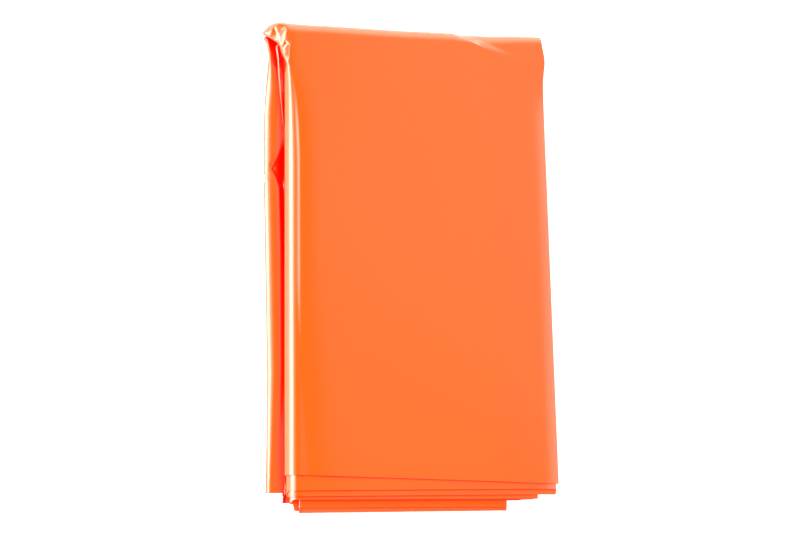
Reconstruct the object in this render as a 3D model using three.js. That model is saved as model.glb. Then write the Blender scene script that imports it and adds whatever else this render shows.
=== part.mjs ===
import * as THREE from "three";

// A survival bag of plastic film, folded lengthwise into nested layers and then once crosswise over its head.
// Millimetres, +Z up. The pack lies on its back half. +Y points to the head fold, +X to the open side.
// While it is laid out, x is measured from the closed side of the front half and y from the crest of its head,
// so the pack lies at negative y. Centring comes last.

// The film
const LAYER = 1.0; // thickness of one built layer, which stands for several plies
const AIR = 0.5; // space between neighbouring layers
const PITCH = LAYER + AIR;

// The pack
const BAG_WIDTH = 914.4;
const LENGTHWISE_FOLDS = 6;
const PANEL = BAG_WIDTH / LENGTHWISE_FOLDS; // width of the folded panel
const HEAD_SLANT = 0.035; // drop of the head for each millimetre to the right
const BACK_SLIDE = 10; // how far the back half lies out to the left of the front half

// Each half of the pack is a stack of layers, counted from the outside of the pack to its middle.
// right: where the layer ends on the open side.
// footLeft, footRight: how far below the head's crest it ends in the front half. backFoot: the same behind.
// sag: how far it sinks on the open side of the front half, where the layers below it have ended.
const LAYERS = [
  { right: 153.0, footLeft: 265.5, footRight: 272.0, backFoot: 274.5, sag: 3.2 },
  { right: 151.2, footLeft: 274.3, footRight: 274.8, backFoot: 272.0, sag: 3.2 },
  { right: 151.2, footLeft: 279.4, footRight: 279.6, backFoot: 277.0, sag: 3.2 },
  { right: 123.5, footLeft: 283.6, footRight: 286.4, backFoot: 270.5, sag: 0 },
  { right: 139.0, footLeft: 282.0, footRight: 281.0, backFoot: 271.0, sag: 0 },
  { right: 139.0, footLeft: 280.8, footRight: 280.0, backFoot: 268.0, sag: 0 },
];

// The film runs to and fro through the stack in this order. Each pair of the list is joined by a closed fold
// on the left, and each pair is joined to the next one by a fold on the right.
const FILM_ORDER = [0, 5, 4, 1, 2, 3];

// The closed folds on the left, from the outermost inwards.
// inset: how far in from the edge of the pack the fold's middle line starts.
// depth: how far it takes to open to full height. steps: how many facets go round it.
// lean: how much more its lower side slides to the left than its upper one.
const CLOSED_FOLDS = [
  { inset: LAYER / 2, depth: 10, steps: 12, lean: 1 },
  { inset: 5.6, depth: 2.8, steps: 8, lean: 0.25 },
  { inset: 8.6, depth: 0.9, steps: 6, lean: 0 },
];
const RIGHT_FOLD_STEPS = 6;

// Stations where the layers have vertices
const FLAT_X = [11, 16, 24, 38, 64, 94, 114, 125, 132, 141];
const FRONT_RUN = [0, 0.025, 0.15, 0.36, 0.56, 0.72, 0.82, 0.88, 0.915, 0.94, 0.96, 0.98]; // from foot to bend
const BACK_RUN = [0.03, 0.07, 0.14, 0.3, 0.6, 1]; // from bend to foot
const BEND_STEPS = 9;
const LIES_FLAT = 0.05; // an underside this close to the ground lies on it

// Worked out from these
const INNER_LIFT = PITCH / 2; // from the middle plane of the pack to its innermost layer
const OUTER_LIFT = INNER_LIFT + (LAYERS.length - 1) * PITCH;
const MIDDLE = OUTER_LIFT + LAYER / 2; // height of the plane between the two halves
const HEIGHT = 2 * MIDDLE;

const mix = THREE.MathUtils.lerp;
const smooth = (value, from, to) => THREE.MathUtils.smoothstep(value, from, to);
const bump = (distance, radius) => Math.exp(-((distance / radius) ** 2));
const liftOf = (layer) => OUTER_LIFT - layer * PITCH;

// One column of the film: a place across its width, with the two ends of its run over the head.
function column(x, lift, layer, nextLayer = layer, share = 0) {
  const here = LAYERS[layer];
  const next = LAYERS[nextLayer];
  const across = x / PANEL;
  const frontFoot = mix(
    mix(here.footLeft, here.footRight, across),
    mix(next.footLeft, next.footRight, across),
    share,
  );
  const backFoot = mix(here.backFoot, next.backFoot, share);
  const sag = mix(here.sag, next.sag, share);
  return { x, lift, frontFoot, backFoot, sag };
}

// The turn of the film from one layer into another, on the closed side (direction -1) or the open side (+1).
function turn(centreX, depth, direction, layer, nextLayer, steps) {
  const middle = (liftOf(layer) + liftOf(nextLayer)) / 2;
  const half = (liftOf(layer) - liftOf(nextLayer)) / 2;
  const columns = [];
  for (let step = 0; step <= steps; step += 1) {
    const angle = (Math.PI * step) / steps;
    const x = centreX + direction * depth * Math.sin(angle);
    const share = smooth(step / steps, 0, 1);
    columns.push(column(x, middle + half * Math.cos(angle), layer, nextLayer, share));
  }
  return columns;
}

// The flat run of one layer between two turns, from right to left.
function flatRun(layer, leftX, rightX) {
  const clearance = 1.5;
  return FLAT_X.filter((x) => x > leftX + clearance && x < rightX - clearance)
    .reverse()
    .map((x) => column(x, liftOf(layer), layer));
}

function filmColumns() {
  const columns = [];
  const last = FILM_ORDER.length - 1;
  const foldRadius = PITCH / 2;
  CLOSED_FOLDS.forEach((fold, index) => {
    const entering = FILM_ORDER[2 * index];
    const leaving = FILM_ORDER[2 * index + 1];
    const centreX = fold.inset + fold.depth;
    const firstOfFold = columns.length;
    const endOf = (layer) => LAYERS[layer].right - foldRadius;
    if (index === 0) columns.push(column(LAYERS[entering].right, liftOf(entering), entering));
    columns.push(...flatRun(entering, centreX, endOf(entering)));
    columns.push(...turn(centreX, fold.depth, -1, entering, leaving, fold.steps));
    columns.push(...flatRun(leaving, centreX, endOf(leaving)).reverse());
    if (2 * index + 1 === last) {
      columns.push(column(LAYERS[leaving].right, liftOf(leaving), leaving));
    } else {
      const following = FILM_ORDER[2 * index + 2];
      columns.push(...turn(endOf(leaving), foldRadius, 1, leaving, following, RIGHT_FOLD_STEPS));
    }
    for (const film of columns.slice(firstOfFold)) film.lean = fold.lean * (1 - smooth(film.x, 15, 60));
  });
  return columns;
}

// The run of one column over the head. below: how far a place of the front half lies below the bend.
function overTheHead({ x, lift, frontFoot, backFoot, sag, lean }) {
  const bendStart = -MIDDLE - HEAD_SLANT * (x - PANEL / 2);
  const places = [];
  for (const share of FRONT_RUN) {
    const y = mix(-frontFoot, bendStart, share);
    places.push({ y, z: MIDDLE + lift, below: bendStart - y, front: 1 });
  }
  for (let step = 0; step <= BEND_STEPS; step += 1) {
    const angle = (Math.PI * step) / BEND_STEPS;
    const y = bendStart + lift * Math.sin(angle);
    const front = 1 - smooth(angle, 0, Math.PI / 2);
    places.push({ y, z: MIDDLE + lift * Math.cos(angle), below: 0, front });
  }
  for (const share of BACK_RUN) {
    places.push({ y: mix(bendStart, -backFoot, share), z: MIDDLE - lift, below: 0, front: 0 });
  }
  return places.map((place) => ({ ...place, x, lift, sag, lean }));
}

// The back half lies out to the left. The front half slides over just below the head, its lower side earlier.
function slide({ x, lift, lean, below }) {
  const upperStart = 24;
  const lowerStart = 60;
  const inward = smooth((OUTER_LIFT - lift) / (OUTER_LIFT - INNER_LIFT), 0.5, 1);
  const start = mix(upperStart, lowerStart, inward * lean);
  return x - BACK_SLIDE * (1 - smooth(below, 0, start));
}

// 1 on the line from one point to another, and falling off to both sides of it.
function crease(x, y, [fromX, fromY], [toX, toY], width) {
  const runX = toX - fromX;
  const runY = toY - fromY;
  const share = ((x - fromX) * runX + (y - fromY) * runY) / (runX * runX + runY * runY);
  const nearest = THREE.MathUtils.clamp(share, 0, 1);
  return bump(Math.hypot(x - fromX - nearest * runX, y - fromY - nearest * runY), width);
}

// How uneven the pack lies. The underside stays flat on the ground.
function settle({ x, y, z, front, sag }) {
  const height = THREE.MathUtils.clamp((z - LAYER) / (HEIGHT - LAYER), 0, 1);

  // the front half sinks at the open side, and at the foot, where it reaches past the back half
  const openSide = sag * (0.36 * smooth(x, 125, 138) + 0.64 * smooth(x, 139, 160));
  const foot = 1.8 * smooth(-y, 279, 290);
  // the dog-ear at the right of the head: the film dips beyond a slanting crease
  const beyondCrease = (x - 101.4) * 0.42 + (y + 5.5) * 0.91;
  const dogEar = 1.4 * smooth(beyondCrease, 0, 8) * (1 - smooth(x, 120, 146)) * smooth(y, -30, -14);
  // the head's crushed corner on the closed side: two ridges that meet, a pinched leaf below, and a hollow
  const outerRidge = 0.9 * crease(x, y, [-6, 2], [-2, -15], 4);
  const innerRidge = 0.7 * crease(x, y, [3, -3], [-2, -15], 4);
  const leaf = 0.6 * crease(x, y, [2, -14], [1, -22], 4);
  const hollow = 1.2 * height * bump(x + 6, 6) * bump(y + 16, 8);
  // long, shallow waves in the face
  const waves = 0.35 * Math.sin(x / 23 + y / 61) * Math.cos(y / 37);
  const relief = height * (waves + outerRidge + innerRidge + leaf - hollow - dogEar);

  // the outline: the corner's tip and peak, an elbow at the right of the head, a kink in the back half's edge
  const tip = 2.7 * bump(x + 10, 14) * bump(y + 4, 11);
  const peak = 1.6 * bump(x + 5, 12) * bump(y, 11);
  const elbow = 1.6 * bump(x - 154, 12) * bump(y + 21, 10);
  const kink = 0.8 * bump(x + 9, 8) * bump(y + 90, 8);
  return new THREE.Vector3(x - tip + elbow + kink, y + peak, z + relief - front * (openSide + foot));
}

// The film's middle surface, as rows of points for each column.
function middleSurface() {
  return filmColumns().map((film) =>
    overTheHead(film).map((place) => settle({ ...place, x: slide(place) })),
  );
}

// The direction in which a line of points passes one of them, halfway between its two neighbouring stretches.
function directionAt(before, point, after) {
  const arriving = new THREE.Vector3().subVectors(point, before).normalize();
  const leaving = new THREE.Vector3().subVectors(after, point).normalize();
  return arriving.add(leaving).normalize();
}

function normalAt(grid, i, j) {
  const point = grid[i][j];
  const across = directionAt(grid[i - 1]?.[j] ?? point, point, grid[i + 1]?.[j] ?? point);
  const along = directionAt(grid[i][j - 1] ?? point, point, grid[i][j + 1] ?? point);
  return across.cross(along).normalize();
}

// Gives the middle surface its thickness and closes it round its four edges.
function thicken(grid, thickness) {
  const columns = grid.length;
  const rows = grid[0].length;
  const positions = [];
  for (const side of [1, -1]) {
    for (let i = 0; i < columns; i += 1) {
      for (let j = 0; j < rows; j += 1) {
        const point = grid[i][j].clone().addScaledVector(normalAt(grid, i, j), (side * thickness) / 2);
        positions.push(point.x, point.y, point.z);
      }
    }
  }
  const upper = (i, j) => i * rows + j;
  const lower = (i, j) => columns * rows + i * rows + j;
  const faces = [];
  const quad = (a, b, c, d) => faces.push(a, b, c, a, c, d);
  for (let i = 0; i + 1 < columns; i += 1) {
    for (let j = 0; j + 1 < rows; j += 1) {
      quad(upper(i, j), upper(i + 1, j), upper(i + 1, j + 1), upper(i, j + 1));
      quad(lower(i, j), lower(i, j + 1), lower(i + 1, j + 1), lower(i + 1, j));
    }
    quad(upper(i, 0), lower(i, 0), lower(i + 1, 0), upper(i + 1, 0));
    quad(upper(i, rows - 1), upper(i + 1, rows - 1), lower(i + 1, rows - 1), lower(i, rows - 1));
  }
  for (let j = 0; j + 1 < rows; j += 1) {
    quad(upper(0, j), upper(0, j + 1), lower(0, j + 1), lower(0, j));
    quad(upper(columns - 1, j), lower(columns - 1, j), lower(columns - 1, j + 1), upper(columns - 1, j + 1));
  }
  const geometry = new THREE.BufferGeometry();
  geometry.setAttribute("position", new THREE.Float32BufferAttribute(positions, 3));
  geometry.setIndex(faces);
  return geometry;
}

// Puts the origin under the middle of the pack, on the ground, and lays the underside flat on it.
function centre(geometry) {
  geometry.computeBoundingBox();
  const middle = geometry.boundingBox.getCenter(new THREE.Vector3());
  geometry.translate(-middle.x, -middle.y, -geometry.boundingBox.min.z);
  const position = geometry.attributes.position;
  for (let i = 0; i < position.count; i += 1) {
    if (position.getZ(i) < LIES_FLAT) position.setZ(i, 0);
  }
  geometry.computeVertexNormals();
  return geometry;
}

const film = new THREE.MeshStandardMaterial({ color: 0xff7842, roughness: 0.18, metalness: 0 });
const bag = new THREE.Mesh(centre(thicken(middleSurface(), LAYER)), film);
bag.name = "folded_bag";

const group = new THREE.Group();
group.add(bag);

export default group;
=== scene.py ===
# %% [markdown]
# # A survival bag of orange film, folded flat
# The real object is one long bag of thin, glossy plastic film. It was folded lengthwise into a narrow
# strip, with one fold closed inside the next, and the strip was then folded once crosswise. A block with
# lines painted on it would pass from far away, but it has no folds that catch the light. So we build it as
# it was folded: one sheet runs to and fro through every layer, and passes over the head fold into the back
# half.

# %% Tools and the frame
import math

import bmesh
import bpy
import numpy as np
from mathutils import Matrix, Vector
from mathutils.geometry import delaunay_2d_cdt


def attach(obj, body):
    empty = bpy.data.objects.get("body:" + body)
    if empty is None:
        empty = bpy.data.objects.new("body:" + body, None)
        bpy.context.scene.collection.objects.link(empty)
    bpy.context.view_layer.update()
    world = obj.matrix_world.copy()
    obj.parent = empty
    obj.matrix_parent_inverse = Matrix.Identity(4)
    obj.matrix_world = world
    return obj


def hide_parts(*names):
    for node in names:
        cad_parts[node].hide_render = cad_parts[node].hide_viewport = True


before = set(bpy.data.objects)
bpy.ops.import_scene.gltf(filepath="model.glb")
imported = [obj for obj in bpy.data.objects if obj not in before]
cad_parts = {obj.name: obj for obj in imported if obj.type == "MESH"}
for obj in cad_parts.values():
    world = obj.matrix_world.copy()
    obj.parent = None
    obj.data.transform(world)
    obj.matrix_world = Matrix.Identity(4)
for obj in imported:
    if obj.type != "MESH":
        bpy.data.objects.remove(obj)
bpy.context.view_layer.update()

# %% [markdown]
# ## Sizes
# All sizes are millimetres on the real object. While the pack is laid out, x counts from the closed side
# of the front half, y from the crest of the head fold (the pack lies at negative y) and z from the ground.
# A layer's lift is its distance from the plane between the two halves.

# %% Sizes
MM = 0.001
PANEL = 152.4  # width of the folded strip
FILM = 0.28  # thickness of one layer, which stands for a few plies
LAYER_COUNT = 12  # layers in each half
OUTER_LIFT = 8.61  # lift of the outermost layer
INNER_LIFT = 0.35  # lift of the innermost one
MIDDLE = OUTER_LIFT + FILM / 2  # height of the plane between the halves
PITCH = (OUTER_LIFT - INNER_LIFT) / (LAYER_COUNT - 1)
HEAD_SLANT = 0.035  # drop of the head for each millimetre to the right
ORIGIN = Vector((-70.26, 141.18, 0.0))  # where the layout's origin lies in the frame
print("distance between layers, mm:", round(PITCH, 3))

# %% [markdown]
# ## Where the layers end
# Nobody folds film squarely, so each layer ends somewhere else. The open side is on the right and the
# loose ends are at the foot. The table goes from the outside of the pack to its middle, and the film
# passes through its rows in another order, because each fold is closed inside the one before.

# %% The layers
LAYERS = [  # right end, foot at the left, foot at the right, foot of the back half
    (153.0, 265.5, 272.0, 273.0),
    (151.5, 274.3, 274.8, 273.0),
    (151.5, 277.5, 277.8, 272.5),
    (141.0, 279.2, 280.2, 277.0),
    (141.0, 278.4, 279.2, 276.0),
    (123.5, 283.4, 284.4, 270.5),
    (123.5, 286.3, 286.2, 269.0),
    (123.5, 285.2, 285.2, 270.0),
    (132.0, 281.4, 280.4, 271.0),
    (132.0, 281.0, 280.2, 270.0),
    (139.0, 280.8, 280.0, 268.0),
    (139.0, 280.7, 280.0, 274.8),
]
LAST_LAYER = LAYER_COUNT - 1
FILM_ORDER = [0, 11, 10, 1, 2, 9, 8, 3, 4, 7, 6, 5]
SINKING = 5  # this many layers, from the outside, sink where the ones below have ended
OPENING = 3  # this many bend down at the open side


def lift_of(layer):
    return OUTER_LIFT - layer * PITCH


print("layers in the pack:", 2 * len(LAYERS))

# %% [markdown]
# ## A place across the film
# A column is one place across the width of the film, and runs the whole length of it. It knows how far it
# lies from the closed side, how high its layer is, and where its layer ends. On the way round a fold, it
# is partly on one layer and partly on the next, so its values are mixed.

# %% Columns
def mix(first, second, share):
    return first + (second - first) * share


def column(x, lift, layer, next_layer=None, share=0.0):
    next_layer = layer if next_layer is None else next_layer
    here, other = LAYERS[layer], LAYERS[next_layer]
    across = x / PANEL
    return {
        "x": x,
        "lift": lift,
        "foot": mix(mix(here[1], here[2], across), mix(other[1], other[2], across), share),
        "back_foot": mix(here[3], other[3], share),
        "sinks": mix(float(layer < SINKING), float(next_layer < SINKING), share),
        "opens": mix(float(layer < OPENING), float(next_layer < OPENING), share),
        "inner": 0.0 if layer in (0, LAST_LAYER) else 1.0,
        "outer_fold": 0.0,
        "turned": 0.0 if layer == 0 else 1.0,
    }


print("length of the face from head to foot, mm:", round(column(PANEL / 2, lift_of(0), 0)["foot"], 1))

# %% [markdown]
# ## The closed folds
# Film that is pressed flat doesn't fold into a half circle: it bulges a little inside the fold and comes
# to a narrow tip. One section serves every fold. The outermost fold needs all its points, since the light
# runs along it, and the folds deep inside need few.

# %% Closed folds
CLOSED_FOLDS = [  # inset of the tip from the edge, depth of the rounded part, step through the section
    (0.14, 7.0, 1),
    (1.1, 6.0, 2),
    (1.8, 5.2, 2),
    (3.0, 4.1, 7),
    (4.2, 2.8, 7),
    (8.1, 0.5, 7),
]
FOLD_SECTION = [  # share of the fold's depth in from its tip, share of its half height down from the top
    (1.0, 0.0), (0.92, 0.026), (0.84, 0.06), (0.757, 0.104), (0.68, 0.15), (0.6, 0.202), (0.52, 0.262),
    (0.443, 0.33), (0.365, 0.41), (0.286, 0.495), (0.2, 0.605), (0.114, 0.731), (0.057, 0.85),
    (0.02, 0.93), (0.0, 1.0),
]
FOOT_CHANGE = (0.5, 0.6)  # share of the way round a fold where the next layer's foot takes over


def smooth(value, start, end):
    share = np.clip((np.asarray(value, float) - start) / (end - start), 0.0, 1.0)
    return share * share * (3.0 - 2.0 * share)


def closed_turn(inset, depth, layer, next_layer, every):
    """The film going round a closed fold on the left. every is the step through the section's points."""
    middle = (lift_of(layer) + lift_of(next_layer)) / 2
    half = (lift_of(layer) - lift_of(next_layer)) / 2
    upper = FOLD_SECTION[::every]
    places = [(inset + depth * across, middle + half * (1 - down)) for across, down in upper]
    places += [(inset + depth * across, middle - half * (1 - down)) for across, down in upper[-2::-1]]
    columns = []
    for number, (x, lift) in enumerate(places):
        turned = number / (len(places) - 1)
        made = column(x, lift, layer, next_layer, float(smooth(turned, *FOOT_CHANGE)))
        if layer == 0:
            made.update(outer_fold=1.0, turned=turned)
        columns.append(made)
    return columns


print("columns round the outer fold:", len(closed_turn(*CLOSED_FOLDS[0][:2], 0, LAST_LAYER, 1)))

# %% [markdown]
# ## The folds at the open side
# On the right the film only passes to the layer below, in a small half circle.

# %% Folds at the open side
RIGHT_FOLD_STEPS = 6


def right_turn(end_x, layer, next_layer):
    middle = (lift_of(layer) + lift_of(next_layer)) / 2
    radius = PITCH / 2
    columns = []
    for step in range(RIGHT_FOLD_STEPS + 1):
        share = step / RIGHT_FOLD_STEPS
        turn = math.pi * share
        x = end_x + radius * math.sin(turn)
        columns.append(column(x, middle + radius * math.cos(turn), layer, next_layer, share))
    return columns


print("columns round a fold at the open side:", len(right_turn(139.0, 10, 1)))

# %% [markdown]
# ## The whole width of the film
# Between the folds a layer is flat. The face needs many columns there, because it carries the creases that
# we see. The layers below it need few, and the back half shows only its left edge.

# %% Across the film
FACE_X = np.concatenate([
    np.arange(7.6, 20.0, 0.6),
    np.arange(20.0, 30.0, 1.5),
    np.arange(32.0, 95.0, 6.0),
    np.arange(95.0, 146.0, 2.5),
    np.arange(146.0, 152.9, 0.8),
])
FLAP_X = np.array([*np.arange(7.6, 15.0, 0.9), 17.0, 20.0, 32.0, 60.0, 100.0, 121.0, 130.0])
HIDDEN_X = np.array([11.0, 18.0, 36.0, 70.0, 104.0, 116.0, 121.0, 127.0, 133.0, 138.0, 144.0])
LEAST_GAP = 0.5  # between a flat column and a fold


def flat_run(layer, left_x, right_x):
    stations = {0: FACE_X, LAST_LAYER: FLAP_X}.get(layer, HIDDEN_X)
    kept = stations[(stations > left_x + LEAST_GAP) & (stations < right_x - LEAST_GAP)]
    return [column(float(x), lift_of(layer), layer) for x in kept]


def film_columns():
    radius = PITCH / 2
    first = FILM_ORDER[0]
    columns = [column(LAYERS[first][0], lift_of(first), first)]
    for index, (inset, depth, every) in enumerate(CLOSED_FOLDS):
        entering, leaving = FILM_ORDER[2 * index : 2 * index + 2]
        columns += flat_run(entering, inset + depth, LAYERS[entering][0] - radius)[::-1]
        columns += closed_turn(inset, depth, entering, leaving, every)
        columns += flat_run(leaving, inset + depth, LAYERS[leaving][0] - radius)
        if 2 * index + 2 < len(FILM_ORDER):
            columns += right_turn(LAYERS[leaving][0] - radius, leaving, FILM_ORDER[2 * index + 2])
    last = FILM_ORDER[-1]
    columns.append(column(LAYERS[last][0], lift_of(last), last))
    return {key: np.array([c[key] for c in columns])[:, None] for key in columns[0]}


film = film_columns()
print("columns across the film:", len(film["x"]))

# %% [markdown]
# ## Over the head
# A row is one place along the film. The rows run from the foot of the front half up to the bend, over the
# head and down the back half. They lie close together where the film is crumpled, near the head and at the
# buckle in the back half's edge.

# %% Rows
FRONT_BELOW = np.concatenate([  # how far below the bend the front half has its rows
    np.arange(0, 21, 0.9),
    np.arange(22, 56, 1.5),
    np.arange(56, 90, 4),
    np.arange(90, 243, 10),
])
BACK_BELOW = np.array([  # the same for the back half
    2, 4, 6, 9, 12, 16, 20, 25, 31, 38, 46, 54, 61,
    *np.arange(65, 96, 1.3),
    100, 108, 118, 135, 160, 200, 240,
])
FOOT_SHARES = np.array([0.3, 0.6, 0.8, 0.92, 1.0])  # the last rows, on the way to the layer's own foot
BEND_ANGLES = np.linspace(0.0, math.pi, 21)[1:]


def rows_down_to(end, stations):
    """Each column's rows below the bend: first the shared ones, then some on the way to its own end."""
    shared = stations[None, :] * np.ones_like(end)
    own = stations[-1] + FOOT_SHARES * (end - stations[-1])
    return np.concatenate([shared, own], axis=1)


bend_start = -MIDDLE - HEAD_SLANT * (film["x"] - PANEL / 2)
front_rows = rows_down_to(film["foot"] + bend_start, FRONT_BELOW)[:, ::-1]
back_rows = rows_down_to(film["back_foot"] + bend_start, BACK_BELOW)
bend_rows = BEND_ANGLES[None, :] * np.ones_like(film["x"])
below = np.concatenate([front_rows, np.zeros_like(bend_rows), np.zeros_like(back_rows)], axis=1)
angle = np.concatenate([np.zeros_like(front_rows), bend_rows, np.full_like(back_rows, math.pi)], axis=1)
behind = np.concatenate([np.zeros_like(front_rows), np.zeros_like(bend_rows), back_rows], axis=1)
is_back = behind > 0
in_bend = (angle > 0) & ~is_back
degrees = np.degrees(angle)
flat_y = bend_start - below - behind
print("rows over the head:", below.shape[1])

# %% [markdown]
# ## How round the closed edge is
# Down the pack the closed edge is a soft roll. Towards the head it is pressed into a narrow crease,
# because the layers were pulled tight over the fold. So we squeeze the columns near the edge together, by
# a share that changes with y. A table of places and values says it more plainly than a formula would.

# %% Roundness of the closed edge
ROUNDING = [  # y, how wide the front half's rounded edge is, as a share of its usual width
    (-101.0, 1.0), (-83.0, 1.0), (-63.0, 0.9), (-47.0, 0.74), (-33.0, 0.47), (-24.0, 0.2), (4.0, 0.15),
]
BACK_ROUNDING = [  # y, the same for the back half
    (-275.0, 0.55), (-240.0, 0.75), (-200.0, 1.0), (-38.0, 1.0), (-27.0, 0.6), (-18.0, 0.15), (-4.0, 0.15),
]
HEAD_ROUNDING = 0.15  # the same in the bend
SQUEEZED_WIDTH = 16.0  # the columns further in stay where they are


def from_table(table, place, value=1):
    """The table's value at a place between its rows. value counts the row's numbers, and 0 is the place."""
    rows = np.array(sorted(table), float)
    return np.interp(place, rows[:, 0], rows[:, value])


own_x = film["x"] * np.ones_like(below)
rounding = np.where(in_bend, HEAD_ROUNDING, from_table(ROUNDING, flat_y))
rounding = np.where(is_back, from_table(BACK_ROUNDING, flat_y), rounding)
x = own_x - (1 - rounding) * own_x * np.exp(-((own_x / SQUEEZED_WIDTH) ** 2))
print("the rounded edge's width, as shares:", rounding.min(), "to", rounding.max())

# %% [markdown]
# ## The two halves slide apart
# The crosswise fold wasn't square either: the back half sticks out on the left by about a centimetre. Just
# below the head, the front half's edge comes over to it. On the right, only the back half slides.

# %% The slide
FRONT_EDGE = [  # y, how far the front half's edge lies out to the left
    (-25.0, 0.0), (-21.0, 1.3), (-18.2, 2.7), (-14.0, 3.7), (-11.5, 5.2), (-8.5, 9.4), (-6.5, 13.2),
    (-5.0, 14.6),
]
HEAD_EDGE = [  # degrees round the bend, the same
    (0, 14.6), (30, 12.0), (60, 7.8), (90, 6.4), (120, 7.6), (150, 10.6), (180, 12.5),
]
BACK_EDGE = [  # y, the same for the back half
    (-4.0, 11.2), (-7.9, 10.8), (-16.4, 9.2), (-30.2, 10.6), (-40.2, 11.4), (-52.7, 12.1), (-88.0, 12.2),
    (-91.5, 11.4), (-95.7, 12.1), (-164.0, 10.7), (-222.0, 9.7), (-256.0, 10.3), (-275.0, 10.5),
]
RIGHT_SLIDE = 10.0  # of the open side, at the end of the bend
SLIDE_STARTS = (80.0, 180.0)  # degrees round the bend, where the open side starts to slide and where it ends
EDGE_GIVES_WAY = (20.0, 70.0)  # x, where the left edge's slide gives way to the open side's
INNER_INSET = 7.0  # in the back half, the inner folds stay this much further in
INSET_FADES = (6.0, 30.0)  # x
INSET_STARTS = (60.0, 180.0)  # degrees round the bend

edge = np.where(is_back, from_table(BACK_EDGE, flat_y), from_table(FRONT_EDGE, flat_y))
edge = np.where(in_bend, from_table(HEAD_EDGE, degrees), edge)
far_edge = np.where(is_back, edge, RIGHT_SLIDE * smooth(degrees, *SLIDE_STARTS))
x = x - mix(edge, far_edge, smooth(own_x, *EDGE_GIVES_WAY))
x = x + INNER_INSET * film["inner"] * (1 - smooth(own_x, *INSET_FADES)) * smooth(degrees, *INSET_STARTS)
print("the film reaches from x", round(x.min(), 1), "to", round(x.max(), 1))

# %% [markdown]
# ## The roll of the front half
# The closed edge of the face drops away in two parts: the outermost fold itself, which goes down to its
# tip, and beside it a gentle roll, where the face passes over the folds inside. The innermost folds end a
# little further in, and make a low step. Seen from above, a slope of 30 degrees mirrors what stands 60
# degrees off to the side, so these drops decide where the two long highlights run.

# %% Drops at the closed edge
FOLD_DROP = [  # the front half's outer fold: distance in from the tip, drop
    (0.14, 5.0), (0.4, 4.03), (0.8, 3.53), (1.4, 2.93), (2.0, 2.41), (3.1, 1.58), (4.2, 0.93), (5.3, 0.45),
    (6.4, 0.14), (7.0, 0.0),
]
ROLL_DROP = [  # the face beside it: distance in from the tip, drop
    (7.0, 1.15), (7.6, 1.03), (9.0, 0.78), (9.8, 0.64), (10.9, 0.49), (12.3, 0.335), (13.7, 0.215),
    (16.2, 0.09), (18.8, 0.01), (20.0, 0.0),
]
ROLL_SHARE = [  # y, how plain that roll is
    (-280.0, 0.8), (-200.0, 1.0), (-63.0, 1.0), (-47.0, 0.7), (-33.0, 0.35), (-24.0, 0.15), (4.0, 0.0),
]
ROLL_WIDTH = [  # y, how wide it is
    (-280.0, 2.0), (-220.0, 1.5), (-163.0, 1.0), (4.0, 1.0),
]
STEP_DROP = 0.38  # where the innermost folds end under the face
STEP_ENDS = (7.5, 9.1)  # distance in from the tip
FOLD_STEP = [  # y, how plain that step is
    (-280.0, 0.2), (-255.0, 0.35), (-226.0, 0.5), (-192.0, 0.7), (-158.0, 0.9), (-63.0, 1.0), (-47.0, 0.8),
    (-33.0, 0.5), (-24.0, 0.2), (4.0, 0.0),
]
DROP_BELOW = 0.6  # share of the outer fold's drop that the folds inside it take part in

roll_drop = from_table(ROLL_SHARE, flat_y) * from_table(ROLL_DROP, own_x / from_table(ROLL_WIDTH, flat_y))
roll_drop = roll_drop + STEP_DROP * from_table(FOLD_STEP, flat_y) * (1 - smooth(own_x, *STEP_ENDS))
fold_drop = from_table(FOLD_DROP, own_x)
turned = film["turned"] * film["outer_fold"]
print("deepest drop on the face, mm:", round(float((roll_drop + fold_drop).max()), 2))

# %% [markdown]
# ## Heights of the layers
# Every layer keeps its share of the pack's thickness. The outer fold is an exception: above its tip it
# follows the drops, and below its tip it goes on to the layer that it closes on. In the back half it is
# flatter, since the front half presses on it.

# %% Heights
FLAP_DROP = [  # the back half's outer fold: distance in from the tip, drop
    (0.14, 4.13), (0.28, 1.9), (0.54, 1.5), (0.94, 1.25), (1.54, 0.93), (2.14, 0.67), (2.7, 0.47),
    (3.78, 0.2), (4.9, 0.06), (6.0, 0.0),
]
THINNER = 0.15  # share that the pack is thinner by along the closed side
THIN_WIDTH = 16.0

from_edge = x + from_table(BACK_EDGE, flat_y)
middle = MIDDLE * (1.0 - THINNER * (1 - smooth(from_edge, 0.0, THIN_WIDTH)))
half_lift = (OUTER_LIFT - INNER_LIFT) / 2
tip_lift = OUTER_LIFT - roll_drop - FOLD_DROP[0][1]
below_tip = INNER_LIFT + (film["lift"] - INNER_LIFT) * (tip_lift - INNER_LIFT) / half_lift
outer_lift = np.where(turned <= 0.5, OUTER_LIFT - roll_drop - fold_drop, below_tip)
inner_drop = roll_drop + DROP_BELOW * fold_drop * (1 - film["outer_fold"])
lift_in_front = mix(film["lift"] * (1 - inner_drop / OUTER_LIFT), outer_lift, film["outer_fold"])

on_flap = (film["outer_fold"] > 0) & (turned > 0.5)
lift_behind = film["lift"] * (middle - FILM / 2) / OUTER_LIFT
lift_behind = np.where(on_flap, INNER_LIFT + from_table(FLAP_DROP, own_x), lift_behind)
lift = mix(lift_in_front, lift_behind, smooth(degrees, 0.0, 180.0))
print("lifts, mm:", round(float(lift.min()), 2), "to", round(float(lift.max()), 2))

# %% [markdown]
# ## The ledge and the gap beside it
# Near the head, the lower side of the front half's outer fold sticks out to the left as a thin ledge, with
# a bright line along its rim. Right under the corner, the deeper layers draw back instead and leave a dark
# hollow. The ledge has a section of its own, and the hollow is a shear: each millimetre down moves a layer
# some way to the right. At the foot, the ledge shows once more.

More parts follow.
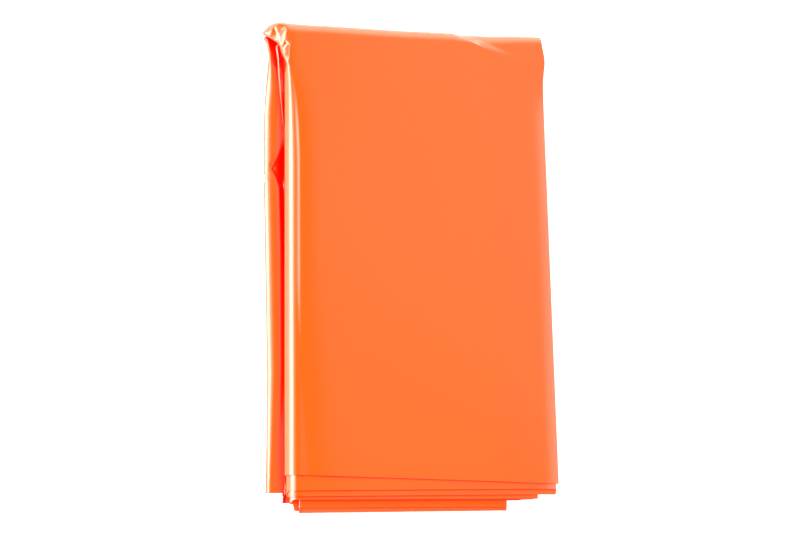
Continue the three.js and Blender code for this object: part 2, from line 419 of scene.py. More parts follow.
# %% Ledge and hollow
LEDGE = [  # y, how far the lower side of the front half's outer fold sticks out beyond its upper side
    (-280.0, 1.2), (-272.0, 0.0), (-76.0, 0.0), (-67.0, 0.4), (-57.0, 1.0), (-43.5, 2.4), (-28.6, 3.7),
    (-21.0, 4.0), (-15.0, 4.8), (-12.9, 5.1), (-11.5, 4.6), (-10.5, 0.0),
]
LEDGE_SECTION = [  # share of the way round the fold, share of the ledge's reach, lift
    (0.5, 0.0, 2.2), (0.536, 0.0, 1.9), (0.571, 0.03, 1.4), (0.607, 0.12, 1.0), (0.643, 0.35, 1.5),
    (0.679, 0.6, 2.1), (0.714, 0.82, 2.6), (0.75, 0.95, 2.3), (0.786, 1.0, 1.8), (0.821, 1.0, 1.2),
    (0.857, 0.97, 0.7), (0.893, 0.8, 0.45), (0.929, 0.5, 0.4), (1.0, 0.1, 0.35),
]
FULL_LEDGE = 0.8  # from this reach on, the ledge has its own section
UNDERCUT = [  # y, how plainly the deeper layers draw back
    (-29.0, 0.0), (-23.0, 1.0), (12.0, 1.0),
]
RIM = 0.6  # thickness of the rim that stays where it is
DRAWN_TO_RIGHT, DRAWN_TO_BACK = 0.5, 0.6  # for each millimetre down
DEEPEST = 7.0
DRAWN_FADES = (8.0, 20.0)  # distance in from the tip
DRAWN_ENDS = (0.0, 70.0)  # degrees round the bend
LEDGE_CLOSES = (0.9, 1.0)  # share of the way round the fold

ledge = np.where(angle == 0, from_table(LEDGE, flat_y), 0.0)
lower_side = film["outer_fold"] * (turned > 0.5) * (1 - smooth(turned, *LEDGE_CLOSES))
formed = np.clip(ledge / FULL_LEDGE, 0.0, 1.0) * lower_side
lift = mix(lift, from_table(LEDGE_SECTION, turned, value=2), formed)

deep = np.clip(OUTER_LIFT - roll_drop - lift - RIM, 0.0, DEEPEST)
under_rim = (1 - smooth(own_x, *DRAWN_FADES)) * (1 - smooth(degrees, *DRAWN_ENDS))
drawn = deep * from_table(UNDERCUT, flat_y) * under_rim
x = mix(x + DRAWN_TO_RIGHT * drawn, -ledge * from_table(LEDGE_SECTION, turned, 1), formed)
y = flat_y + lift * np.sin(angle) * in_bend + DRAWN_TO_BACK * drawn * (1 - formed)
z = middle + lift * np.cos(angle)
print("points in the hollow:", int((drawn > 0.1).sum()), "and on the ledge:", int((formed > 0.5).sum()))

# %% [markdown]
# ## How the face settles
# The face sinks on the right, where the layers under it have ended, and bends down at the open side and at
# the foot. Faint waves over the whole face keep its reflection from looking like glass.

# %% The face settles
SINK = 1.15  # where the layers below have ended
SINKS_FROM = (118.0, 140.0)  # x
EDGE_BEND = 1.4  # towards the open side
BENDS_FROM = (132.0, 156.0)  # x
EDGE_CURL = 1.0  # in the last few millimetres before it
CURL_START, CURL_WIDTH = 145.0, 8.0
CURL_BELOW = (-60.0, -25.0)  # y
FOOT_DROP = 1.8
FOOT_START = (279.0, 290.0)  # mm below the head
DOG_EAR_DROP = 1.4  # to the right of the tuck in the head
TUCK_PLACE = (101.4, -5.5)  # a point on the tuck's line
TUCK_SQUARE = (0.42, 0.91)  # the way square to it
DOG_EAR_WIDTH = 6.0
DOG_EAR_FADES = (120.0, 146.0)  # x
DOG_EAR_ENDS = (-30.0, -14.0)  # y
WAVE_HEIGHT = 0.2
WAVE_SLANT = (23.0, 61.0)  # how long a wave is across and along, both over 2 pi
WAVE_LENGTH = 37.0  # and how long the swell along it is, over 2 pi

front = 1.0 - smooth(angle, 0.0, math.pi / 2)
height = np.clip((z - FILM) / (2 * MIDDLE - FILM), 0.0, 1.0)
curled = np.clip((x - CURL_START) / CURL_WIDTH, 0.0, 1.2) ** 2 * (1 - smooth(y, *CURL_BELOW))
edge_curl = EDGE_CURL * film["opens"] * curled
open_side = edge_curl + SINK * film["sinks"] * smooth(x, *SINKS_FROM)
open_side = open_side + EDGE_BEND * film["opens"] * smooth(x, *BENDS_FROM)
foot_drop = FOOT_DROP * smooth(-y, *FOOT_START)
beyond_tuck = (x - TUCK_PLACE[0]) * TUCK_SQUARE[0] + (y - TUCK_PLACE[1]) * TUCK_SQUARE[1]
dog_ear = smooth(beyond_tuck, 0.0, DOG_EAR_WIDTH) * (1 - smooth(x, *DOG_EAR_FADES))
dog_ear = DOG_EAR_DROP * (dog_ear * smooth(y, *DOG_EAR_ENDS))
waves = WAVE_HEIGHT * np.sin(x / WAVE_SLANT[0] + y / WAVE_SLANT[1]) * np.cos(y / WAVE_LENGTH)
z = z + height * (waves - dog_ear) - front * (open_side + foot_drop)
print("the pack's height, mm:", round(float(z.max()), 1))

# %% [markdown]
# ## The outline of the head
# The head isn't straight. It is pulled out at the crumpled corner, comes down towards the right, and makes
# a small step at the tuck. Its right end bulges out a little beside the fold.

# %% The head's outline
HEAD_BULGE = 1.6  # to the right, at its right end
BULGE_PLACE, BULGE_SIZE = (154.0, -21.0), (12.0, 10.0)
CORNER_PULL = 1.9  # to the back
CORNER_PLACE, CORNER_SIZE = (-7.0, -2.0), (10.0, 9.0)
HEAD_FALL = 1.5
FALLS_FROM = (8.0, 75.0)  # x
TUCK_STEP = 0.5
STEPS_FROM = (100.0, 105.0)  # x
STEP_RISES, STEP_RISE = (118.0, 150.0), 0.6  # x, and the share of the step that is made up for
OUTLINE_ABOVE = (-26.0, -6.0)  # y


def bump(place, size):
    """A round hill, 1 high, over the pack."""
    return np.exp(-(((x - place[0]) / size[0]) ** 2)) * np.exp(-(((y - place[1]) / size[1]) ** 2))


x = x + HEAD_BULGE * bump(BULGE_PLACE, BULGE_SIZE)
y = y + CORNER_PULL * bump(CORNER_PLACE, CORNER_SIZE)
head_drop = HEAD_FALL * smooth(x, *FALLS_FROM)
head_drop = head_drop + TUCK_STEP * smooth(x, *STEPS_FROM) * (1 - STEP_RISE * smooth(x, *STEP_RISES))
y = y - head_drop * smooth(y, *OUTLINE_ABOVE)
print("the head reaches y", round(float(y.max()), 1))

# %% [markdown]
# ## The dip beside the front half
# The strip of the back half that we see is not flat. It has a crest near its free edge and falls from
# there to the foot of the front half, so the light fades along it and leaves the gap dark.

# %% The dip
FLAP_DIP = [  # y, how deep the back half's top lies at the front half's edge
    (-275.0, 1.2), (-200.0, 1.6), (-125.0, 1.8), (-97.0, 2.2), (-85.0, 2.4), (-75.0, 1.8), (-60.0, 1.0),
    (-40.0, 0.8), (-30.0, 1.2), (-20.0, 5.0), (-8.0, 5.4), (-4.0, 3.5),
]
CREST_INSET = 7.8  # where the dip starts, in from the back half's edge
DIP_FULL = 0.5  # where it is deepest, out from the front half's edge
DIP_ENDS = (4.0, 16.0)  # x, under the front half
BACK_STARTS = (120.0, 180.0)  # degrees round the bend

flap_edge = from_table(BACK_EDGE, y)
flap_crest = CREST_INSET * from_table(BACK_ROUNDING, y)
dip_share = np.clip((x + flap_edge - flap_crest) / (flap_edge - flap_crest - DIP_FULL), 0.0, 1.0)
flap_dip = from_table(FLAP_DIP, y) * dip_share * (1 - smooth(x, *DIP_ENDS))
back_share = np.clip(z / MIDDLE, 0.0, 1.0) * smooth(degrees, *BACK_STARTS)
z = z - flap_dip * back_share
print("deepest dip, mm:", round(float((flap_dip * back_share).max()), 2))

# %% [markdown]
# ## Creases as a net
# Crumpled film is a net of sharp creases with nearly flat film between them. Noise would only give it soft
# dents, and sculpting can't be repeated. So each crumple is drawn as a net: named points with a height,
# and lines between them that stay creases. A triangulation that keeps those lines fills the rest, and we
# read the height in it.

# %% Reading a net
def net_height(x, y, points, lines):
    names = list(points)
    flat = [Vector(points[name][:2]) for name in names]
    edges = [(names.index(a), names.index(b)) for a, b in lines]
    corners, _, triangles, origin, _, _ = delaunay_2d_cdt(flat, edges, [], 0, 1e-4)
    crossing = [tuple(round(v, 1) for v in corners[k]) for k, found in enumerate(origin) if not found]
    if crossing:
        print("creases that cross:", crossing)
    heights = [points[names[found[0]]][2] if found else 0.0 for found in origin]
    total = np.zeros_like(x)
    for a, b, c in triangles:
        (ax, ay), (bx, by), (cx, cy) = corners[a], corners[b], corners[c]
        area = (bx - ax) * (cy - ay) - (cx - ax) * (by - ay)
        share_b = ((x - ax) * (cy - ay) - (cx - ax) * (y - ay)) / area
        share_c = ((bx - ax) * (y - ay) - (x - ax) * (by - ay)) / area
        share_a = 1 - share_b - share_c
        inside = (share_a >= 0) & (share_b > 0) & (share_c > 0)
        value = share_a * heights[a] + share_b * heights[b] + share_c * heights[c]
        total = np.where(inside, value, total)
    return total


def chain(*names):
    """Creases from each named point to the next."""
    return list(zip(names, names[1:]))


TENT = {"left": (0.0, 0.0, 0.0), "right": (2.0, 0.0, 0.0), "top": (1.0, 2.0, 1.0)}
print("height halfway up a tent:", net_height(np.array([1.0]), np.array([1.0]), TENT, []))

# %% [markdown]
# ## The buckle in the back half's edge
# Where the free edge of the back half was pushed in, it buckled: a fold runs from an apex near the edge
# into the gap, both up and down, and the film between them lies deep and in the shade.

# %% The buckle
BUCKLE = {  # x, y, height above the smooth surface
    "apex": (-8.8, -86.0, 0.0),
    "top": (0.1, -72.5, 0.0),
    "foot_1": (-2.8, -97.0, 0.0),
    "foot_2": (-1.8, -120.0, 0.0),
    "foot_3": (-0.5, -150.0, 0.0),
    "deep_top": (1.4, -76.0, -3.0),
    "deep_apex": (-6.9, -86.1, -2.2),
    "deep_near": (0.9, -86.5, -5.6),
    "deep_1": (-0.8, -98.0, -3.6),
    "deep_2": (0.4, -122.0, -1.8),
    "under_1": (10.0, -70.0, 0.0),
    "under_2": (10.0, -152.0, 0.0),
    "kink_in": (-7.2, -93.5, 0.0),
    "kink_out": (-11.4, -91.6, 0.8),
    "above_kink": (-11.6, -88.4, 0.0),
    "below_kink": (-11.6, -95.2, 0.0),
    "out_1": (-14.0, -80.0, 0.0),
    "out_2": (-14.0, -100.0, 0.0),
}
BUCKLE_CREASES = [
    *chain("deep_top", "deep_apex", "deep_1", "deep_2"),
    *chain("deep_apex", "deep_near"),
    *chain("top", "apex", "foot_1", "foot_2", "foot_3"),
    *chain("kink_in", "kink_out"),
]

buckle = net_height(x, y, BUCKLE, BUCKLE_CREASES) * back_share * is_back
z = z + buckle
points = np.stack([x, y, z], axis=2)
print("deepest place of the buckle, mm:", round(float(buckle.min()), 2))

# %% [markdown]
# ## From a surface to a sheet
# Film has two faces. The surface that we have so far is its middle, so each point moves half a thickness
# out to either side, square to the surface. A modifier would do the same, but here we keep the faces in a
# known order and need it for the next step. The four free edges are closed, and what lies on the ground is
# made flat.

# %% Thickness
ON_THE_GROUND = 0.05  # what lies lower than this is set down flat


def directions(points, axis):
    """The way the grid runs at each point, halfway between its two neighbouring stretches."""
    steps = np.diff(points, axis=axis)
    steps = steps / np.maximum(np.linalg.norm(steps, axis=2, keepdims=True), 1e-9)
    first = np.take(steps, [0], axis=axis)
    last = np.take(steps, [-1], axis=axis)
    total = np.concatenate([first, steps], axis=axis) + np.concatenate([steps, last], axis=axis)
    return total / np.maximum(np.linalg.norm(total, axis=2, keepdims=True), 1e-9)


def normals(points):
    across = np.cross(directions(points, 0), directions(points, 1))
    return across / np.maximum(np.linalg.norm(across, axis=2, keepdims=True), 1e-9)


def quads(a, b, c, d):
    return np.stack([a, b, c, d], axis=-1).reshape(-1, 4)


def thicken(points, thickness):
    count, rows, _ = points.shape
    offset = normals(points) * (thickness / 2)
    both = np.concatenate([points + offset, points - offset]).reshape(-1, 3)
    both[:, 2] = np.where(both[:, 2] < ON_THE_GROUND, 0.0, both[:, 2])
    upper = np.arange(count * rows).reshape(count, rows)
    lower = upper + count * rows
    faces = np.concatenate([
        quads(upper[:-1, :-1], upper[1:, :-1], upper[1:, 1:], upper[:-1, 1:]),
        quads(lower[:-1, :-1], lower[:-1, 1:], lower[1:, 1:], lower[1:, :-1]),
        quads(upper[:-1, 0], lower[:-1, 0], lower[1:, 0], upper[1:, 0]),
        quads(upper[:-1, -1], upper[1:, -1], lower[1:, -1], lower[:-1, -1]),
        quads(upper[0, :-1], upper[0, 1:], lower[0, 1:], lower[0, :-1]),
        quads(upper[-1, :-1], lower[-1, :-1], lower[-1, 1:], upper[-1, 1:]),
    ])
    return both, faces


vertices, faces = thicken(points, FILM)
mesh = bpy.data.meshes.new("bag_film")
mesh.from_pydata(vertices.tolist(), [], faces.tolist())
mesh.validate()
print("faces of the sheet:", len(mesh.polygons))

# %% [markdown]
# ## Finer film where it is crumpled
# The creases at the corner and at the tuck lie closer together than the columns, so the faces there are
# divided first. Dividing the whole sheet would make several hundred thousand more. Two values go with each
# point, and are shared out by the division: how much of the crumpling it takes part in, which is all on
# the face and none in the layers deep below, and whether it lies on the outside, where we see it.

# %% Division
CORNER_CUTS, CORNER_RIGHT, CORNER_FOOT = 2, 4.4, -26.0
TUCK_CUTS, TUCK_LEFT, TUCK_RIGHT, TUCK_FOOT, TUCK_TOP = 3, 97.0, 126.0, -21.0, 1.0
TAKES_PART = (2.0, 6.0)  # lift from which a layer starts to take part, and takes part fully
TAKES_PART_TO = (60.0, 100.0)  # degrees round the bend
SEEN_TO = 130.0  # degrees round the bend


def at_corner(place):
    return place.x < CORNER_RIGHT and place.y > CORNER_FOOT


def at_tuck(place):
    return TUCK_LEFT < place.x < TUCK_RIGHT and TUCK_FOOT < place.y < TUCK_TOP


def refine(grid, inside, cuts):
    grid.verts.ensure_lookup_table()
    chosen = [face for face in grid.faces if all(v[on_top] == 1 and inside(v.co) for v in face.verts)]
    edges = list({edge for face in chosen for edge in face.edges})
    bmesh.ops.subdivide_edges(grid, edges=edges, cuts=cuts, use_grid_fill=True)


part_taken = ~is_back * smooth(film["lift"], *TAKES_PART) * (1 - smooth(degrees, *TAKES_PART_TO))
part_taken = np.concatenate([part_taken.reshape(-1)] * 2)
outside = (film["turned"] <= 0.5) & (degrees < SEEN_TO)
outside = np.concatenate([np.zeros(x.size, bool), outside.reshape(-1)])

grid = bmesh.new()
grid.from_mesh(mesh)
takes_part = grid.verts.layers.float.new("takes_part")
on_top = grid.verts.layers.float.new("on_top")
for vertex in grid.verts:
    vertex[takes_part] = part_taken[vertex.index]
    vertex[on_top] = float(outside[vertex.index])
refine(grid, at_corner, CORNER_CUTS)
refine(grid, at_tuck, TUCK_CUTS)
print("points of the sheet:", len(grid.verts))

# %% [markdown]
# ## From the photo to the film
# Nothing in a crumple follows from a size, so the corner's points are picked in the photo. A pixel
# alone is only a ray from the camera, so each point has a height too, which is a guess, and its place is
# where the ray comes down to that height. The camera stands over the pack, a little towards its foot. A long
# lens from nearly a metre away keeps the pack's sides almost parallel.

# %% A pixel's place
PHOTO_WIDTH, PHOTO_HEIGHT = 800, 534
LENS = 70.0
SENSOR = 36.0
CAMERA_PLACE = Vector((-0.0697, -0.2118, 0.8799))
CAMERA_BACK = Vector((-0.0735, -0.2305, 0.9703)).normalized()  # from what it sees to the camera
CAMERA_RIGHT = Vector((0.9973, -0.0170, 0.0715)).normalized()
CAMERA_UP = CAMERA_BACK.cross(CAMERA_RIGHT)
FACE_LEVEL = 17.2  # of the smooth surface near the corner, above the ground
focal = round(LENS / SENSOR * PHOTO_WIDTH, 1)  # in pixels


def place_of(pixel_x, pixel_y, height):
    """x and y of what the photo shows at a pixel, to a tenth of a millimetre."""
    right = (pixel_x - PHOTO_WIDTH / 2) / focal
    up = (PHOTO_HEIGHT / 2 - pixel_y) / focal
    ray = CAMERA_RIGHT * right + CAMERA_UP * up - CAMERA_BACK
    eye = CAMERA_PLACE / MM
    place = eye + ray * ((FACE_LEVEL + height - eye.z) / ray.z) - ORIGIN
    return round(place.x, 1), round(place.y, 1)


print("place of the photo's middle pixel:", place_of(PHOTO_WIDTH / 2, PHOTO_HEIGHT / 2, 0.0))

# %% [markdown]
# ## The crumpled corner
# All the layers turn over the head at once, and at the closed side they have too little room. There the
# film is crumpled: two sharp ridges come down from the peak, with a pale flat to their left, and under
# them hangs a small leaf of film, folded over along its upper edge. Where a ridge or an edge is narrow,
# two points lie side by side, one on its crest and one at its foot.

# %% The corner
PICKED = {  # pixel from the left, pixel from the top, height above the smooth surface
    "tip": (263.2, 33.4, -4.6),
    "outline_low": (266.0, 29.2, -4.3),
    "outline_high": (270.0, 25.3, -3.2),
    "peak": (274.3, 21.6, -1.6),
    "crest_left": (279.0, 21.2, -0.5),
    "crest_right": (285.0, 22.0, 0.0),
    "pale_top_left": (272.0, 24.6, -1.9),
    "pale_left": (267.2, 31.5, -3.4),
    "pale_foot_left": (267.8, 35.6, -3.9),
    "pale_top_right": (273.2, 25.2, -1.3),
    "pale_right": (270.8, 31.0, -2.1),
    "pale_foot_right": (269.3, 35.4, -3.2),
    "first_top_left": (274.6, 26.8, -1.5),
    "first_top_right": (275.4, 26.4, -1.1),
    "first_high_left": (276.6, 33.0, -2.0),
    "first_high_right": (278.4, 32.6, -1.3),
    "first_middle_left": (277.3, 37.5, -2.3),
    "first_middle_right": (279.6, 37.2, -1.45),
    "first_low_left": (278.0, 43.0, -2.2),
    "first_low_right": (279.6, 43.0, -1.5),
    "first_foot_left": (279.0, 48.0, -2.3),
    "first_foot_right": (280.0, 47.6, -1.7),
    "second_top_left": (283.8, 32.8, -0.75),
    "second_top_right": (285.8, 32.4, -0.15),
    "second_middle_left": (282.8, 39.0, -0.95),
    "second_middle_right": (284.6, 39.2, -0.4),
    "second_foot_left": (280.9, 45.6, -1.4),
    "second_foot_right": (282.2, 45.0, -1.0),
    "rim_left": (268.0, 37.4, -4.1),
    "rim_middle": (272.5, 40.8, -3.4),
    "rim_right": (276.0, 43.0, -2.8),
    "body": (273.5, 35.5, -2.7),
    "leaf_under_left": (278.6, 53.6, -2.3),
    "leaf_under_middle": (281.4, 49.2, -1.75),
    "leaf_under_top": (284.6, 45.3, -1.2),
    "leaf_under_peak": (287.0, 43.9, -0.7),
    "leaf_under_right": (289.6, 45.2, -0.2),
    "leaf_left": (279.8, 54.4, -1.8),
    "leaf_middle": (282.8, 50.2, -1.15),
    "leaf_top": (285.6, 46.6, -0.7),
    "leaf_peak": (287.2, 45.6, -0.45),
    "leaf_corner": (288.2, 47.0, -0.4),
    "leaf_dip": (287.0, 50.5, -0.42),
    "leaf_right": (288.0, 54.0, -0.38),
    "leaf_low_right": (286.6, 60.0, -0.5),
    "beside_high": (290.0, 47.4, 0.0),
    "beside_middle": (289.8, 55.0, 0.0),
    "beside_low": (288.2, 61.5, 0.0),
    "leaf_foot": (285.0, 63.5, -0.9),
    "leaf_low_left": (281.5, 57.8, -1.4),
    "leaf_centre": (284.0, 54.0, -0.85),
    "face_high": (287.6, 30.0, 0.0),
    "face_middle": (288.3, 37.0, 0.0),
    "face_low": (288.6, 42.0, 0.0),
    "face_foot": (290.0, 68.0, 0.0),
    "edge_foot": (283.0, 68.0, 0.0),
}
# how much higher these are built, after comparing renders with the photo
RAISED = {  # how much higher these are built, so that their shading comes closer to the photo
    "crest_left": 0.2, "second_top_left": 0.1, "leaf_under_left": 0.5, "leaf_under_middle": 0.4,
    "leaf_under_top": 0.2, "leaf_left": 0.5, "leaf_middle": 0.35, "leaf_top": 0.2, "leaf_peak": 0.15,
    "leaf_corner": 0.15, "leaf_dip": 0.08, "leaf_right": 0.12, "leaf_low_right": 0.2, "leaf_foot": 0.45,
    "leaf_low_left": 0.45, "leaf_centre": 0.3,
}
BEYOND = {  # x, y, height: the net's outer points, all beside the face
    "out_1": (-8.0, -22.0, -2.3),
    "out_2": (-16.0, -12.0, -4.5),
    "out_3": (-16.0, 2.0, -4.5),
    "out_4": (-8.0, 10.0, -1.5),
    "out_5": (5.0, 8.0, 0.0),
}
CORNER_CREASES = [
    *chain("tip", "outline_low", "outline_high", "peak", "crest_left"),
    *chain("peak", "pale_top_left", "pale_left", "pale_foot_left"),
    *chain("pale_top_right", "pale_right", "pale_foot_right"),
    *chain("peak", "first_top_left", "first_high_left", "first_middle_left"),
    *chain("first_middle_left", "first_low_left", "first_foot_left"),
    *chain("first_top_right", "first_high_right", "first_middle_right"),
    *chain("first_middle_right", "first_low_right", "first_foot_right"),
    *chain("second_top_left", "second_middle_left", "second_foot_left"),
    *chain("second_top_right", "second_middle_right", "second_foot_right"),
    *chain("first_high_right", "second_top_left"),
    *chain("tip", "rim_left", "rim_middle", "rim_right"),
    *chain("leaf_under_left", "leaf_under_middle", "leaf_under_top"),
    *chain("leaf_under_top", "leaf_under_peak", "leaf_under_right"),
    *chain("leaf_under_right", "beside_high", "beside_middle", "beside_low"),
    *chain("leaf_left", "leaf_middle", "leaf_top", "leaf_peak"),
    *chain("leaf_peak", "leaf_corner", "leaf_right", "leaf_low_right", "leaf_foot"),
    *chain("leaf_left", "leaf_low_left", "leaf_foot"),
]
CORNER = {}
for name, (pixel_x, pixel_y, height) in PICKED.items():
    CORNER[name] = (*place_of(pixel_x, pixel_y, height), height + RAISED.get(name, 0.0))
CORNER.update(BEYOND)
print("points in the corner's net:", len(CORNER))

# %% [markdown]
# ## The tuck in the head
# At the right end of the head, the film didn't turn over squarely. A small slanting fold takes up what was
# left over, with its upper side on the face and a short wall down to the head.

# %% The tuck
TUCK = {  # x, y, height above the smooth surface
    "start": (100.5, -2.5, 0.0),
    "over_1": (103.2, -6.0, 0.0),
    "over_2": (112.0, -10.7, 0.0),
    "end": (122.5, -16.4, 0.0),
    "under_1": (103.6, -5.4, -0.42),
    "under_2": (112.4, -10.1, -0.34),
    "head_1": (103.5, 4.0, -0.6),
    "head_2": (118.0, 4.0, -0.6),
    "head_3": (140.0, 4.0, 0.0),
    "beyond_1": (115.0, -5.0, -0.4),
    "beyond_2": (124.5, -13.0, 0.0),
    "beyond_3": (138.0, -8.0, 0.0),
    "face_1": (98.0, -8.0, 0.0),
    "face_2": (110.0, -18.0, 0.0),
    "face_3": (128.0, -20.0, 0.0),
}
TUCK_CREASES = [*chain("start", "over_1", "over_2", "end"), *chain("start", "under_1", "under_2", "end")]
print("points in the tuck's net:", len(TUCK))

# %% [markdown]
# ## The finished sheet
# Both nets now lift or lower the divided sheet, and the layout's millimetres become metres in the frame.
# Edges with a real angle stay sharp, and the rest is shaded smooth.

# %% The bag
SHARP_FROM = 50.0  # degrees


places = np.array([vertex.co[:] for vertex in grid.verts])
shares = np.array([vertex[takes_part] for vertex in grid.verts])
places[:, 2] += net_height(places[:, 0], places[:, 1], CORNER, CORNER_CREASES) * shares
places[:, 2] += net_height(places[:, 0], places[:, 1], TUCK, TUCK_CREASES) * shares
for vertex, place in zip(grid.verts, places):
    vertex.co = (Vector(place) + ORIGIN) * MM
grid.to_mesh(mesh)
grid.free()
mesh.shade_smooth()
mesh.set_sharp_from_angle(angle=math.radians(SHARP_FROM))
bag = bpy.data.objects.new("bag_film", mesh)
bpy.context.scene.collection.objects.link(bag)
mesh.calc_loop_triangles()
print("triangles:", len(mesh.loop_triangles))

# %% [markdown]
# ## Reckoning with masks
# A material that changes over a surface needs sums of masks. Math nodes do them, but a chain of nodes is
# hard to read. So we wrap a node's output in a small class, and Python's own signs add the nodes: 1 - mask
# is then a node that subtracts. One more function makes every other node, sets it up and links it.

# %% Nodes
def add_node(tree, kind, settings=None, values=None):
    node = tree.nodes.new(kind)
    for name, value in (settings or {}).items():
        setattr(node, name, value)
    for name, value in (values or {}).items():
        if isinstance(value, Quantity):
            tree.links.new(value.output, node.inputs[name])
        else:
            node.inputs[name].default_value = value
    return node


class Quantity:
    """A node's output that can be reckoned with like a number."""

    def __init__(self, output):
        self.output = output
        self.tree = output.id_data

    def calculate(self, operation, *values):
        node = add_node(self.tree, "ShaderNodeMath", {"operation": operation}, dict(enumerate(values)))
        return Quantity(node.outputs[0])

    def __add__(self, other):
        return self.calculate("ADD", self, other)

    def __radd__(self, other):
        return self.calculate("ADD", other, self)

    def __sub__(self, other):
        return self.calculate("SUBTRACT", self, other)

    def __rsub__(self, other):
        return self.calculate("SUBTRACT", other, self)

    def __mul__(self, other):
        return self.calculate("MULTIPLY", self, other)

    def __rmul__(self, other):
        return self.calculate("MULTIPLY", other, self)

    def rises(self, start, end):
        """0 up to start, 1 from end on, and a soft step between them."""
        settings = {"interpolation_type": "SMOOTHSTEP"}
        values = {"Value": self, "From Min": start, "From Max": end}
        return Quantity(add_node(self.tree, "ShaderNodeMapRange", settings, values).outputs["Result"])


print("signs that a mask understands:", [name for name in vars(Quantity) if name.startswith("__r")])

# %% [markdown]
# ## The film's finish and its painted shade
# Polythene film is glossy and lets some light through. We could trace light through all the layers, but
# that is slow and noisy, and two stand-ins give its look. Real film reflects at both of its faces, so the
# index of refraction is set higher than polythene's 1.5. The share that comes back from the lower face has
# passed through orange film, so the reflection is a little warm. Light that gets into a gap has passed
# through film too and is shaded there, so the film's colour is painted darker and redder in the gaps:
# painted shade. Ambient occlusion measures how open a place is, and is the painted shade's mask.

# %% Film
FILM_COLOUR = (0.95, 0.069, 0.001, 1)
# painted shade: the darker red that the gaps get in place of their shade and of light through film
PAINTED_GAP_SHADE = (0.95, 0.003, 0.0003, 1)
PAINTED_SHADE_REACH = 0.012  # metres round a point in which film shuts it in
PAINTED_SHADE_OPENNESS = (0.4, 0.95)  # where the painted shade is full, and where the film keeps its own orange
REFLECTION_TINT = (1.0, 0.9, 0.8, 1)
BOTH_FACES = 1.8  # index of refraction
GLOSS = 0.2  # roughness
# A Mix node's sockets for colours, by number, because their names repeat
MIX_SHARE, MIX_FIRST, MIX_SECOND, MIX_RESULT = 0, 6, 7, 2


def make_film():
    material = bpy.data.materials.new("orange_film")
    material.use_nodes = True
    tree = material.node_tree
    shader = tree.nodes["Principled BSDF"]
    shader.inputs["Specular Tint"].default_value = REFLECTION_TINT
    shader.inputs["Roughness"].default_value = GLOSS
    shader.inputs["IOR"].default_value = BOTH_FACES
    settings = {"samples": 16, "only_local": True}
    # painted shade: the base colour goes from the film's orange to the darker red where film shuts a point
    # in
    nearby = add_node(tree, "ShaderNodeAmbientOcclusion", settings, {"Distance": PAINTED_SHADE_REACH})
    openness = Quantity(nearby.outputs["AO"]).rises(*PAINTED_SHADE_OPENNESS)
    values = {MIX_SHARE: openness, MIX_FIRST: PAINTED_GAP_SHADE, MIX_SECOND: FILM_COLOUR}
    colour = add_node(tree, "ShaderNodeMix", {"data_type": "RGBA"}, values)
    tree.links.new(colour.outputs[MIX_RESULT], shader.inputs["Base Color"])
    return material


mesh.materials.append(make_film())
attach(bag, "root")
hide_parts("folded_bag")
print("materials of the bag:", [material.name for material in mesh.materials])

# %% [markdown]
# ## The floor
# The pack lies on plain white paper in a studio. A faint glow of its own keeps the paper white up to the
# pack, as a lit table would.

# %% Floor
FLOOR_COLOUR = (0.9, 0.9, 0.9, 1)
FLOOR_GLOW = 0.5
FLOOR_SIDE = 8.0
PAPER_ROUGHNESS = 0.9
FLOOR_DEPTH = 0.0001  # metres below the pack


def make_paper():
    material = bpy.data.materials.new("white_floor")
    material.use_nodes = True
    shader = material.node_tree.nodes["Principled BSDF"]
    shader.inputs["Base Color"].default_value = FLOOR_COLOUR
    shader.inputs["Roughness"].default_value = PAPER_ROUGHNESS
    shader.inputs["Specular IOR Level"].default_value = 0.0
    shader.inputs["Emission Color"].default_value = (1, 1, 1, 1)
    shader.inputs["Emission Strength"].default_value = FLOOR_GLOW
    return material


bpy.ops.mesh.primitive_plane_add(size=FLOOR_SIDE, location=(0, 0, -FLOOR_DEPTH))
floor = bpy.context.object
floor.name = "floor"
floor.data.materials.append(make_paper())
print("floor, m:", floor.dimensions[:2])

# %% [markdown]
# ## The studio's walls
# Glossy film shows what stands round it, so the studio matters as much as the film. We draw it into the
# world's brightness, by direction. A window far to the left gives the long white highlights on slopes of
# about 30 degrees, and the pale wall round it gives their tan borders. A dim field overhead, towards the
# right, gives the face its light orange, and the gap beside it gives the darker band next to the
# highlights. The wall behind the pack gives the head its sheen, and a bright spot low in the far right
# corner lights the ridges of the crumpled corner. A mask rises between two shares of a direction that point
# its way: 1 is straight towards it, and 0 is square to it.

# %% Walls
ROOM = 0.1
WINDOW = 10.0
LEFT_WALL = 3.0
OVERHEAD = 0.82
BACK_WALL = 2.1
FAR_CORNER = 6.0
RIGHT_WALL = 2.4

world = bpy.data.worlds.new("studio")
world.use_nodes = True
tree = world.node_tree
way = Quantity(add_node(tree, "ShaderNodeTexCoord").outputs["Generated"])
parts = add_node(tree, "ShaderNodeSeparateXYZ", values={"Vector": way})
to_right, to_back, upward = (Quantity(socket) for socket in parts.outputs)


def towards(right, back):
    return to_right * right + to_back * back


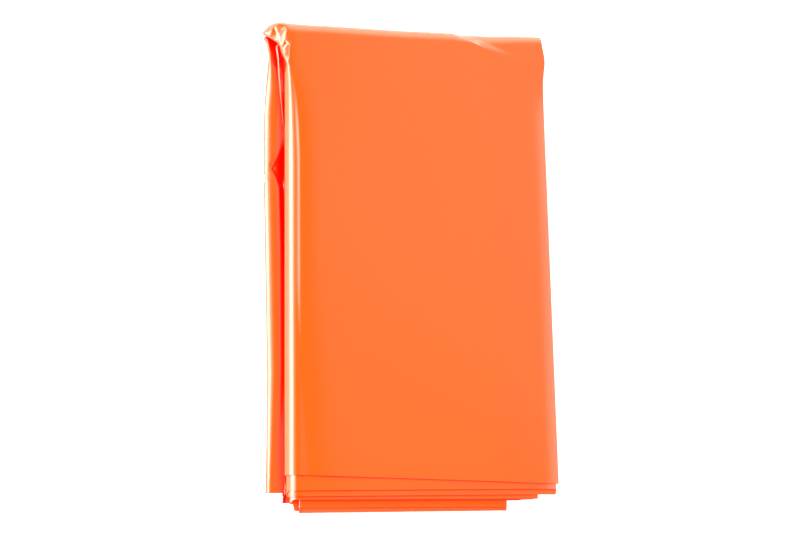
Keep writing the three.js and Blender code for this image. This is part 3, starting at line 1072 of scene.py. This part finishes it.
far_left = towards(-0.94, 0.34)
window = far_left.rises(0.55, 0.75) * upward.rises(0.2, 0.36) * (1 - upward.rises(0.62, 0.72))
left_wall = towards(-0.99, 0.12).rises(0.46, 0.66)
overhead = to_right.rises(-0.12, 0.06) * to_back.rises(-0.15, 0.3)
back_wall = to_back.rises(0.6, 0.92) * to_right.rises(-0.2, 0.05)
far_corner = towards(0.5, 0.87).rises(0.94, 0.99)
right_wall = to_right.rises(0.35, 0.75)
brightness = ROOM + WINDOW * window + LEFT_WALL * left_wall + OVERHEAD * overhead
brightness = brightness + BACK_WALL * back_wall + FAR_CORNER * far_corner + RIGHT_WALL * right_wall
background = tree.nodes["Background"]
background.inputs["Color"].default_value = (1, 1, 1, 1)
tree.links.new(brightness.output, background.inputs["Strength"])
bpy.context.scene.world = world
print("nodes of the studio:", len(tree.nodes))

# %% [markdown]
# ## A soft light at the foot
# One large lamp on the side of the foot lifts the stepped ends and evens out the shade there.

# %% Lamp
LAMP_AZIMUTH, LAMP_HEIGHT = math.radians(-100), math.radians(45)  # azimuth counts from +X towards +Y
LAMP_DISTANCE = 1.4
LAMP_SIZE = (1.4, 1.0)
LAMP_RADIANCE = 1.5

light = bpy.data.lights.new("foot_soft", "AREA")
light.shape = "RECTANGLE"
light.size, light.size_y = LAMP_SIZE
light.energy = LAMP_RADIANCE * math.pi * LAMP_SIZE[0] * LAMP_SIZE[1]
lamp = bpy.data.objects.new("foot_soft", light)
reach = math.cos(LAMP_HEIGHT)
lamp_way = Vector((reach * math.cos(LAMP_AZIMUTH), reach * math.sin(LAMP_AZIMUTH), math.sin(LAMP_HEIGHT)))
lamp.location = lamp_way * LAMP_DISTANCE
lamp.rotation_euler = lamp_way.to_track_quat("Z", "Y").to_euler()
bpy.context.scene.collection.objects.link(lamp)
print("lamp, W:", round(light.energy, 2))

# %% [markdown]
# ## The camera
# It is the one whose rays gave the corner its places. A camera in Blender looks along its own -Z, so the way
# back from the pack is its third axis.

# %% Camera
turned_to = Matrix((CAMERA_RIGHT, CAMERA_UP, CAMERA_BACK)).transposed()
camera_data = bpy.data.cameras.new("camera")
camera_data.lens = LENS
camera_data.sensor_width = SENSOR
camera = bpy.data.objects.new("camera", camera_data)
camera.matrix_world = Matrix.Translation(CAMERA_PLACE) @ turned_to.to_4x4()
bpy.context.scene.collection.objects.link(camera)
bpy.context.scene.camera = camera
bpy.context.scene.view_settings.view_transform = "Standard"
print("the camera's distance, m:", round(CAMERA_PLACE.length, 2))

# %% [markdown]
# The dressed pack has to stay close to the solid's box.
